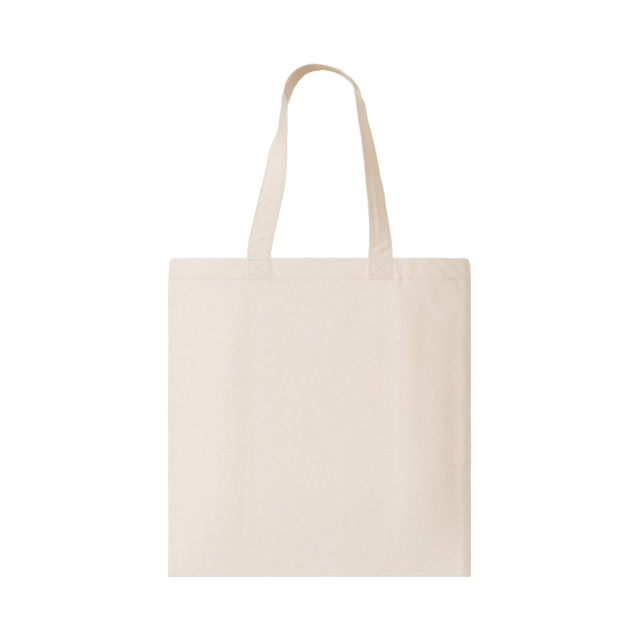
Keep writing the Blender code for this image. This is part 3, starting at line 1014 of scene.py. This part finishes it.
def flat_grid(name, across, along):
    """A grid with those lines, as an object, and each vertex's place in it."""
    deselect_all()
    bpy.ops.mesh.primitive_grid_add(x_subdivisions=len(across) - 1, y_subdivisions=len(along) - 1, size=1)
    obj = bpy.context.active_object
    obj.name = name
    flat = np.empty(len(obj.data.vertices) * 3)
    obj.data.vertices.foreach_get("co", flat)
    flat = flat.reshape(-1, 3)[:, :2] + 0.5
    columns = np.rint(flat[:, 0] * (len(across) - 1)).astype(int)
    rows = np.rint(flat[:, 1] * (len(along) - 1)).astype(int)
    for layer in list(obj.data.uv_layers):
        obj.data.uv_layers.remove(layer)
    return obj, across[columns], along[rows]


def thicken(obj, thickness, angle=35):
    """Gives a sheet its thickness, half to each side, and smooth shading."""
    deselect_all()
    obj.select_set(True)
    bpy.context.view_layer.objects.active = obj
    solid = obj.modifiers.new("Thickness", "SOLIDIFY")
    solid.thickness = thickness
    solid.offset = 0
    bpy.ops.object.modifier_apply(modifier="Thickness")
    bpy.ops.object.shade_smooth_by_angle(angle=radians(angle))


body, cut_u, cut_v = flat_grid("body_cloth", ACROSS, ALONG)
places, ups = fold_cut(cut_u, cut_v)
body.data.vertices.foreach_set("co", places.ravel())
set_cloth_uv(body.data, np.stack([cut_u, cut_v], -1))
keep_vertex_values(body.data, "layers_and_painted_shade", layers_and_painted_shade(np.minimum(np.abs(cut_u), X_TURN) * np.sign(cut_u), ups))

# The hem's flap is notched at its four corners, and the faces are turned to point out.
notched = (np.abs(cut_u) > HEM_HALF - 1e-6) & (np.abs(cut_v) > V_TOP - 1e-6)
for face in body.data.polygons:
    face.select = all(notched[i] for i in face.vertices)
bpy.context.tool_settings.mesh_select_mode = (False, False, True)
bpy.ops.object.mode_set(mode="EDIT")
bpy.ops.mesh.delete(type="FACE")
bpy.ops.mesh.select_all(action="SELECT")
bpy.ops.mesh.flip_normals()
bpy.ops.object.mode_set(mode="OBJECT")
thicken(body, CLOTH)
body.data.materials.clear()
body.data.materials.append(CANVAS)
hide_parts("front_panel", "rear_panel", "bottom_fold", "front_hem", "rear_hem", "left_side_seam",
            "right_side_seam")  # fmt: skip
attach(body, "bag")
triangles = sum(len(face.vertices) - 2 for face in body.data.polygons)
print(f"body cloth: {len(body.data.vertices)} vertices, {triangles} triangles")

# %% [markdown]
# ## The straps
#
# Each strap is canvas folded in on itself to four layers, 3 cm wide, and closed by a row of stitching near
# each edge. Its ends lie inside the hem, and the free loop rises over the hook. Its route is a list of
# given points, each with how far the strap has twisted, and a smooth curve runs through them. A
# twisted ribbon hangs mostly edge-on, which is why the loop looks narrow in the middle and at its full
# width only near the bag.

# %% Lay the straps' routes
LOOP_HEIGHT = -Z_TOP
HOOKED_Y = 0.0155
STRAP_HALF_THICK = 0.0008
# From the middle of the panel's cloth in to the strap's middle: past the hem, with a hair to spare.
STRAP_INSIDE = 2 * TOP_TURN + CLOTH / 2 + STRAP_HALF_THICK + 0.0001
STATION = 0.0025

# Distance from the centre line and height above the top edge in millimetres, then the turn in degrees.
FRONT_ROUTE = (
    (-76, -27.5, 0), (-76, -12, 0), (-75.7, 3, 0), (-73, 22, 0), (-67, 49, 2), (-62.5, 69, 4),
    (-58, 89, 12), (-54.5, 109, 28), (-52, 129, 38), (-50.2, 139, 48), (-48.3, 149, 58),
    (-46.4, 159, 66), (-45.7, 172, 70), (-44.6, 182, 73), (-44, 192, 77), (-44.9, 200, 84),
    (-44.4, 207, 88), (-41.8, 217, 91), (-36.4, 226, 92), (-27.8, 234.5, 92), (-14.4, 239.5, 93),
    (0, 238.8, 95), (15.7, 235.4, 95), (26.5, 230.4, 93), (36.6, 222.6, 89), (41.6, 216.2, 87),
    (44.2, 211.5, 85), (47.2, 204, 79), (49.6, 197, 73), (51.2, 191, 69), (54.5, 171, 65),
    (57.3, 158.5, 62), (60.8, 138.5, 58), (64, 119, 54), (67, 99, 47), (70.2, 79, 42), (72.4, 59, 38),
    (74.6, 39, 30), (76.2, 19, 18), (76.3, 3, 4), (76, -12, 0), (76, -27.5, 0),
)  # fmt: skip
REAR_ROUTE = (
    (-76, -27.5, 0), (-76, -12, 0), (-76.6, 3, 0), (-74.2, 22, 4), (-68.3, 49, 12), (-63.6, 69, 16),
    (-58.9, 89, 24), (-55.2, 109, 38), (-52.4, 129, 48), (-50.2, 139, 56), (-48.3, 149, 65),
    (-46.6, 159, 71), (-45.9, 172, 74), (-44.8, 182, 76), (-43.9, 192, 78), (-41.6, 200.5, 77),
    (-39, 208.5, 75.5), (-35.7, 218.5, 71.5), (-29.3, 228.5, 69.5), (-19.4, 236.4, 75),
    (-10, 239.3, 78.5), (-2, 240.2, 80.5), (5.6, 240.2, 83), (15.7, 238, 84), (26.3, 234.6, 88),
    (36.7, 228.2, 95), (45, 219, 97), (48.5, 213.3, 98), (50.6, 206, 96), (51.2, 198, 90),
    (51.8, 192, 80), (54.8, 172, 70), (57.6, 159, 67), (61, 139, 63), (64.2, 119, 60), (67.2, 99, 54),
    (70.4, 79, 48), (72.6, 59, 43), (74.8, 39, 35), (76.2, 19, 22), (76.3, 3, 5), (76, -12, 0),
    (76, -27.5, 0),
)  # fmt: skip


def smooth_route(route):
    """Evenly spaced stations along a smooth curve through a route's points, and their distance along it."""
    points = np.array(route, float) * (MM, MM, pi / 180)
    points = np.vstack([2 * points[0] - points[1], points, 2 * points[-1] - points[-2]])
    t = np.linspace(0, 1, 24, endpoint=False)[:, None]
    curve = []
    for before, start, end, after in zip(points, points[1:], points[2:], points[3:]):
        bend = 2 * before - 5 * start + 4 * end - after
        twist = 3 * start - before - 3 * end + after
        curve.append(start + 0.5 * ((end - before) * t + bend * t**2 + twist * t**3))
    curve = np.vstack([*curve, points[-2]])
    walked = np.concatenate([[0], np.cumsum(np.hypot(*np.diff(curve[:, :2], axis=0).T))])
    even = np.linspace(0, walked[-1], int(walked[-1] / STATION) + 1)
    return np.stack([np.interp(even, walked, column) for column in curve.T], -1), even


def unit(vectors):
    return vectors / np.linalg.norm(vectors, axis=-1, keepdims=True)


def strap_frames(route, side):
    """A strap's centres, directions to the loop's inner edge, outward normals and distances along."""
    stations, walked = smooth_route(route)
    x, up, turn = stations.T
    on_hem = (np.clip(x, -STRAP_X, STRAP_X), HEIGHT + np.minimum(up, 0))
    sewn = side * on_panel(*on_hem, side, -STRAP_INSIDE)[:, 1]
    share = np.clip(up / LOOP_HEIGHT, 0, 1)
    depth = sewn * (1 - share) + HOOKED_Y * share
    centres = np.stack([x, side * depth, Z_TOP + up], -1)
    along = unit(np.gradient(centres, axis=0))
    away = unit(np.stack([-along[:, 2], np.zeros(len(x)), along[:, 0]], -1))
    flat_on = np.array([0, side, 0]) * np.cos(turn)[:, None]
    normals = unit(away * np.sin(turn)[:, None] + flat_on)
    inwards = unit(np.cross(along, normals) * -side)
    return centres, inwards, np.cross(inwards, along) * -side, walked


STRAPS = {FRONT: strap_frames(FRONT_ROUTE, FRONT), REAR: strap_frames(REAR_ROUTE, REAR)}
for side, label in ((FRONT, "front"), (REAR, "rear")):
    print(f"{label} strap: {STRAPS[side][3][-1]:.3f} m")

# %% [markdown]
# The strap's section is a thin bar with round edges. Along both rows of stitching the thread pulls the
# layers together, so the section dips there, and the outer face has a faint ridge where the folded edges
# meet inside.

# %% Shape the strap's section
STITCH_INSET = 0.0025
EDGE_ROUND = 0.0009
FROM_EDGE = lines(
    0, 0.10 * MM, 0.10 * MM, 0.2 * MM, 0.3 * MM, 0.3 * MM, 0.9 * MM, 0.5 * MM, 1.9 * MM, 0.3 * MM, 3.1 * MM,
    2.2 * MM, STRAP_WIDTH / 2,
)  # fmt: skip


# Creases across the straps near the bag: which leg, then two points on it as distance from its centre line
# towards the loop's inside and distance along from the strap's end, then width and lift, all in millimetres.
STRAP_CREASES = (
    (-1, (-14, 34), (14, 34.5), 1.3, -0.5),
    (-1, (-13, 43), (11, 59), 2.6, 0.9),
    (-1, (-12, 39), (13, 54), 2.6, -0.6),
    (-1, (2, 92), (4, 140), 5.0, -0.5),
    (1, (14, 33), (2, 37), 1.6, 1.2),
    (1, (2, 37), (-12, 44), 1.6, 1.4),
    (1, (13, 37), (3, 43), 1.6, -1.2),
    (1, (-1, 33), (-13, 39), 1.6, -1.4),
    (1, (-13, 46), (-14, 150), 1.6, -0.5),
    (1, (1, 50), (3, 110), 2.2, 0.5),
    (1, (7, 52), (6, 150), 2.6, -0.5),
    (1, (-9, 60), (-7, 160), 2.4, -0.5),
)


def strap_half_thickness(from_edge, walked):
    """Half the strap's thickness, at a distance in from its edge."""
    short = np.clip(EDGE_ROUND - from_edge, 0, None)
    rounded = np.sqrt(np.clip(EDGE_ROUND**2 - short**2, 0, None)) / EDGE_ROUND
    pull = 0.00026 * (1 + 0.35 * ripple(from_edge, walked, 0.016, 61))
    groove = pull * np.exp(-(((from_edge - STITCH_INSET) / 0.0007) ** 2))
    return STRAP_HALF_THICK * rounded - groove


def strap_creases(side, a, distance):
    """How far a strap's creases lift it, at distances from its centre line and along it from its start."""
    lift = np.zeros(np.shape(distance))
    from_right = STRAPS[side][3][-1] - distance
    for hand, start, end, width, height in STRAP_CREASES:
        walked = distance if hand < 0 else from_right
        (a1, d1), (a2, d2) = (np.array(point) * MM for point in (start, end))
        length_squared = (a2 - a1) ** 2 + (d2 - d1) ** 2
        t = np.clip(((a - a1) * (a2 - a1) + (walked - d1) * (d2 - d1)) / length_squared, 0, 1)
        away = np.hypot(a - a1 - t * (a2 - a1), walked - d1 - t * (d2 - d1)) / (width * MM)
        lift = lift + height * MM * np.exp(-(away**2)) * (0.4 + 0.6 * np.sin(pi * np.clip(t, 0.02, 0.98)))
    return lift


def strap_face(side, a, walked_share, face, proud=0.0):
    """A place on a strap's outer (1) or inner (-1) face, at distance a from its centre line inwards."""
    centres, inwards, normals, walked = STRAPS[side]
    place = walked_share * (len(walked) - 1)
    low = np.clip(np.floor(place).astype(int), 0, len(walked) - 2)
    t = (place - low)[..., None]
    centre, inward, normal = (v[low] * (1 - t) + v[low + 1] * t for v in (centres, inwards, normals))
    distance = walked_share * walked[-1]
    half = strap_half_thickness(STRAP_WIDTH / 2 - np.abs(a), distance)
    soft = 0.00035 * ripple(a, distance, 0.045, 63 + side) + 0.00016 * ripple(a, distance, 0.016, 66 + side)
    ridge = 0.00022 * np.exp(-(((a - 0.0015) / 0.0016) ** 2)) * (face > 0)
    reach = (face * (half + proud) + ridge + soft + strap_creases(side, a, distance))[..., None]
    return centre + inward * a[..., None] + normal * reach


def make_strap(name, side):
    """One whole strap: its two sewn ends and the loop between them."""
    walked = STRAPS[side][3]
    a = np.concatenate([FROM_EDGE - STRAP_WIDTH / 2, (STRAP_WIDTH / 2 - FROM_EDGE)[-2::-1]])
    around = np.concatenate([a, a[-2:0:-1]])
    outer = np.arange(len(around)) < len(a)
    grid_a, grid_share = np.meshgrid(around, np.linspace(0, 1, len(walked)))
    points = strap_face(side, grid_a, grid_share, np.broadcast_to(np.where(outer, 1, -1), grid_a.shape))
    count = len(around)
    quads = []
    for first in range(0, (len(walked) - 1) * count, count):
        for j in range(count):
            k = (j + 1) % count
            quads.append((first + j, first + k, first + count + k, first + count + j))
    for first in (0, (len(walked) - 1) * count):
        for j in range(len(a) - 1):
            quads.append([first + n % count for n in (j, j + 1, -j - 1, -j)])
    mesh = bpy.data.meshes.new(name)
    mesh.from_pydata(points.reshape(-1, 3), [], quads)
    strap = bpy.data.objects.new(name, mesh)
    bpy.context.scene.collection.objects.link(strap)
    flat_x = np.broadcast_to(around + np.where(outer, 0, 0.04), grid_a.shape)
    set_cloth_uv(mesh, np.stack([flat_x, grid_share * walked[-1]], -1).reshape(-1, 2))
    above_edge = points[..., 2] - Z_TOP
    into_hem = 0.2 * soft_step(0.002 - above_edge, 0, 0.004)
    # The foot of each right leg and the top of the loop are set deeper as painted shade, where the strap
    # turns from the light.
    painted_shade_right_foot = 0.30 * (points[..., 0] > 0) * soft_step(-above_edge, -0.045, 0.05)
    painted_shade_loop_top = 0.45 * soft_step(above_edge, 0.187, 0.03)
    keep_vertex_values(mesh, "layers_and_painted_shade", 0.10 + into_hem + painted_shade_right_foot + painted_shade_loop_top)

    deselect_all()
    strap.select_set(True)
    bpy.context.view_layer.objects.active = strap
    bpy.ops.object.mode_set(mode="EDIT")
    bpy.ops.mesh.select_all(action="SELECT")
    bpy.ops.mesh.normals_make_consistent(inside=False)
    bpy.ops.object.mode_set(mode="OBJECT")
    bpy.ops.object.shade_smooth_by_angle(angle=radians(60))
    mesh.materials.append(STRAP_CANVAS)
    return strap


def bend_at_top(obj):
    """Bakes the piece's placement into its mesh."""
    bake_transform(obj)


SIDES = ((FRONT, "front"), (REAR, "rear"))
for side, label in SIDES:
    strap = make_strap(f"{label}_strap", side)
    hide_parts(f"{label}_handle", f"{label}_handle_left_end", f"{label}_handle_right_end")
    bend_at_top(strap)
    print(f"{strap.name}: {len(strap.data.polygons)} faces")

# %% [markdown]
# ## Sewing thread
#
# Every seam is a row of lockstitch. One stitch is modelled once, as a short grain of thread whose ends dip
# into the cloth, and then copied along each row: to a start, an end and the way the cloth faces there. The
# copies are joined, one object to a row, because a row of thread is one piece on the bag too.

# %% Model one stitch
THREAD_WIDTH = 0.00050
THREAD_HEIGHT = 0.00036
deselect_all()
bpy.ops.mesh.primitive_uv_sphere_add(segments=6, ring_count=5, radius=0.5)
grain = bpy.context.active_object
grain.name = "one_stitch"
bpy.ops.object.mode_set(mode="EDIT")
bpy.ops.transform.rotate(value=pi / 2, orient_axis="Y", center_override=(0, 0, 0))
bpy.ops.object.mode_set(mode="OBJECT")
GRAIN = np.array([v.co for v in grain.data.vertices])
GRAIN[:, 0] = np.sign(GRAIN[:, 0]) * np.abs(GRAIN[:, 0] * 2) ** 0.75 / 2
GRAIN_FACES = [tuple(p.vertices) for p in grain.data.polygons]
bpy.data.objects.remove(grain, do_unlink=True)
print(f"one stitch has {len(GRAIN_FACES)} faces")


# %% Copy it along a row
def sew(name, starts, ends, normals, coverage=0.84):
    """One object with a stitch from each start to each end, lying on cloth that faces along the normals."""
    starts, ends, normals = (np.asarray(v, float).reshape(-1, 3) for v in (starts, ends, normals))
    along = ends - starts
    length = np.linalg.norm(along, axis=-1, keepdims=True) * coverage
    along = unit(along)
    sideways = unit(np.cross(normals, along))
    facing = np.cross(along, sideways)
    middle = (starts + ends) / 2 + facing * THREAD_HEIGHT * 0.12
    rng = np.random.default_rng(len(starts))
    sag = rng.uniform(-0.10, 0.10, (len(starts), 1))
    lie = unit(along + sideways * sag)
    points = (
        middle[:, None]
        + GRAIN[None, :, :1] * (lie * length)[:, None]
        + GRAIN[None, :, 1:2] * (sideways * THREAD_WIDTH)[:, None]
        + GRAIN[None, :, 2:] * (facing * THREAD_HEIGHT)[:, None]
    )
    faces = []
    for i in range(len(starts)):
        faces.extend([i * len(GRAIN) + n for n in face] for face in GRAIN_FACES)
    mesh = bpy.data.meshes.new(name)
    mesh.from_pydata(points.reshape(-1, 3), [], faces)
    obj = bpy.data.objects.new(name, mesh)
    bpy.context.scene.collection.objects.link(obj)
    mesh.materials.append(THREAD)
    mesh.shade_smooth()
    deselect_all()
    obj.select_set(True)
    bpy.context.view_layer.objects.active = obj
    bpy.ops.object.mode_set(mode="EDIT")
    bpy.ops.mesh.select_all(action="SELECT")
    bpy.ops.mesh.normals_make_consistent(inside=False)
    bpy.ops.object.mode_set(mode="OBJECT")
    return obj


def panel_row(points, side, out=CLOTH / 2):
    """Starts, ends and normals of the stitches between points on a panel, given as x and up."""
    x, up = np.array(points, float).T
    places = on_panel(x, up, side, out)
    facing = panel_normal(x, up, side)
    return places[:-1], places[1:], facing[:-1]


def evenly(start, end, pitch):
    """Points at about that pitch along a straight line, ends included."""
    start, end = np.array(start, float), np.array(end, float)
    steps = max(1, round(float(np.linalg.norm(end - start)) / pitch))
    return start + (end - start) * np.linspace(0, 1, steps + 1)[:, None]


# %% [markdown]
# The hem has one row of stitching near its lower edge, on both panels. It runs right across, under the
# straps.

# %% Sew the hems
HEM_PITCH = 0.0030
for side, label in SIDES:
    row = evenly((-HALF_WIDTH + 0.0035, HEM_LINE), (HALF_WIDTH - 0.0035, HEM_LINE), HEM_PITCH)
    row[:, 1] += 0.00025 * ripple(row[:, 0], 0, 0.060, 71 + side)
    sewing = sew(f"{label}_hem_sewing", *panel_row(row, side))
    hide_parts(f"{label}_hem_stitch")
    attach(sewing, "bag")
    print(f"{sewing.name}: {len(row) - 1} stitches")

# %% [markdown]
# Each strap end is held by a box of stitching with a cross in it, sewn through the panel, the hem and the
# strap. A sewing machine goes round it without stopping: up one side, across, down, back, and over both
# diagonals.

# %% Sew the boxes
BOX_PITCH = 0.0028


def box_path(centre_x):
    """The corners in the order they are sewn: round the box, then over its two diagonals."""
    low, high = BOX_LOW.z - Z_BOTTOM, BOX_HIGH.z - Z_BOTTOM
    half = (BOX_HIGH.x - BOX_LOW.x) / 2
    corners = ((-half, low), (-half, high), (half, high), (half, low))
    order = (0, 1, 2, 3, 0, 2, 3, 1)
    return [(centre_x + corners[i][0], corners[i][1]) for i in order]


for side, label in SIDES:
    for hand, x in (("left", -STRAP_X), ("right", STRAP_X)):
        path = box_path(x)
        sides = [evenly(a, b, BOX_PITCH) for i, (a, b) in enumerate(zip(path, path[1:])) if i != 5]
        rows = [panel_row(points, side) for points in sides]
        sewing = sew(f"{label}_{hand}_box_sewing", *(np.vstack(part) for part in zip(*rows)))
        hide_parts(f"{label}_{hand}_box_stitch")
        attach(sewing, "bag")
        print(f"{sewing.name}: {sum(len(points) - 1 for points in sides)} stitches")

# %% [markdown]
# The folded straps are closed by a row of topstitching along each edge. A lockstitch looks the same from both
# faces, so each row is sewn on the outer face and again on the inner one.

# %% Sew the straps
TOPSTITCH_PITCH = 0.0031
for side, label in SIDES:
    walked = STRAPS[side][3]
    share = np.linspace(0, 1, round(walked[-1] / TOPSTITCH_PITCH) + 1)
    from_near_end = np.minimum(share, 1 - share) * walked[-1]
    share = share[from_near_end > SEWN_LENGTH - 0.004]
    for edge_name, edge in (("inner", 1), ("outer", -1)):
        a = np.full(len(share), edge * (STRAP_WIDTH / 2 - STITCH_INSET))
        rows = []
        for face in (1, -1):
            places = strap_face(side, a, share, face)
            facing = places - strap_face(side, a, share, face, -0.001)
            rows.append((places[:-1], places[1:], facing[:-1]))
        sewing = sew(f"{label}_strap_{edge_name}_sewing", *(np.vstack(part) for part in zip(*rows)))
        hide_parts(f"{label}_handle_{edge_name}_topstitch")
        bend_at_top(sewing)
        print(f"{sewing.name}: {2 * (len(share) - 1)} stitches")

# %% [markdown]
# Inside the bag, each side seam is sewn beside the crease, and thread is wrapped over the two raw edges to
# stop them fraying. That overlock thread is one long tube, which runs in along one face, round the edge and
# back out along the other, again and again up the seam.

# %% Sew the side seams
SEAM_PITCH = 0.0030
OVERLOCK_PITCH = 0.0034
OVERLOCK_REACH = 0.004
OVERLOCK_RADIUS = 0.00022


def allowance_point(hand, in_from_side, up, side, out):
    """A place on the turned-in edge of a panel, and a distance out from its cloth towards that panel."""
    edge = panel_point(hand * X_TURN, up, side)
    edge[..., 0] += hand * (HALF_WIDTH - in_from_side - X_TURN)
    edge[..., 1] -= side * (2 * SIDE_TURN - CLOTH / 2 - out)
    return edge


def overlock_path(hand):
    """The route of the thread over the raw edges: out on the front, round the edge, out on the rear."""
    turns = int((HEIGHT - 0.012) / OVERLOCK_PITCH)
    radius = OVERLOCK_RADIUS
    reach, edge = ALLOWANCE - OVERLOCK_REACH, ALLOWANCE - 0.0004
    corners = []
    for i in range(turns):
        up = 0.008 + i * OVERLOCK_PITCH
        for side, in_from_side, rise_share in (
            (FRONT, reach, 0.0), (FRONT, edge, 0.2), (REAR, edge, 0.3),
            (REAR, reach, 0.5), (REAR, edge, 0.7), (FRONT, edge, 0.8),
        ):  # fmt: skip
            stage = up + rise_share * OVERLOCK_PITCH
            corners.append(allowance_point(hand, in_from_side, stage, side, radius))
    return corners


def thread_tube(name, points, radius):
    """A tube of thread along points, with closed ends."""
    curve = bpy.data.curves.new(name, "CURVE")
    curve.dimensions = "3D"
    curve.bevel_depth = radius
    curve.bevel_resolution = 1
    curve.use_fill_caps = True
    line = curve.splines.new("POLY")
    line.points.add(len(points) - 1)
    for point, place in zip(line.points, points):
        point.co = (*place, 1)
    obj = bpy.data.objects.new(name, curve)
    bpy.context.scene.collection.objects.link(obj)
    deselect_all()
    obj.select_set(True)
    bpy.context.view_layer.objects.active = obj
    bpy.ops.object.convert(target="MESH")
    obj.data.materials.append(THREAD)
    return obj


for hand, label in ((-1, "left"), (1, "right")):
    ups = evenly((UP_BOTTOM + 0.002, 0), (HEIGHT - 0.002, 0), SEAM_PITCH)[:, 0]
    rows = []
    for side in (FRONT, REAR):
        places = allowance_point(hand, 0.0022, ups, side, 0.0)
        rows.append((places[:-1], places[1:], np.tile((0, side, 0), (len(ups) - 1, 1))))
    sewing = sew(f"{label}_seam_sewing", *(np.vstack(part) for part in zip(*rows)))
    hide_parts(f"{label}_seam_stitch")
    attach(sewing, "bag")
    overlock = thread_tube(f"{label}_overlock_thread", overlock_path(hand), OVERLOCK_RADIUS)
    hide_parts(f"{label}_seam_overlock")
    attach(overlock, "bag")
    print(f"{overlock.name}: {len(overlock.data.polygons)} faces")
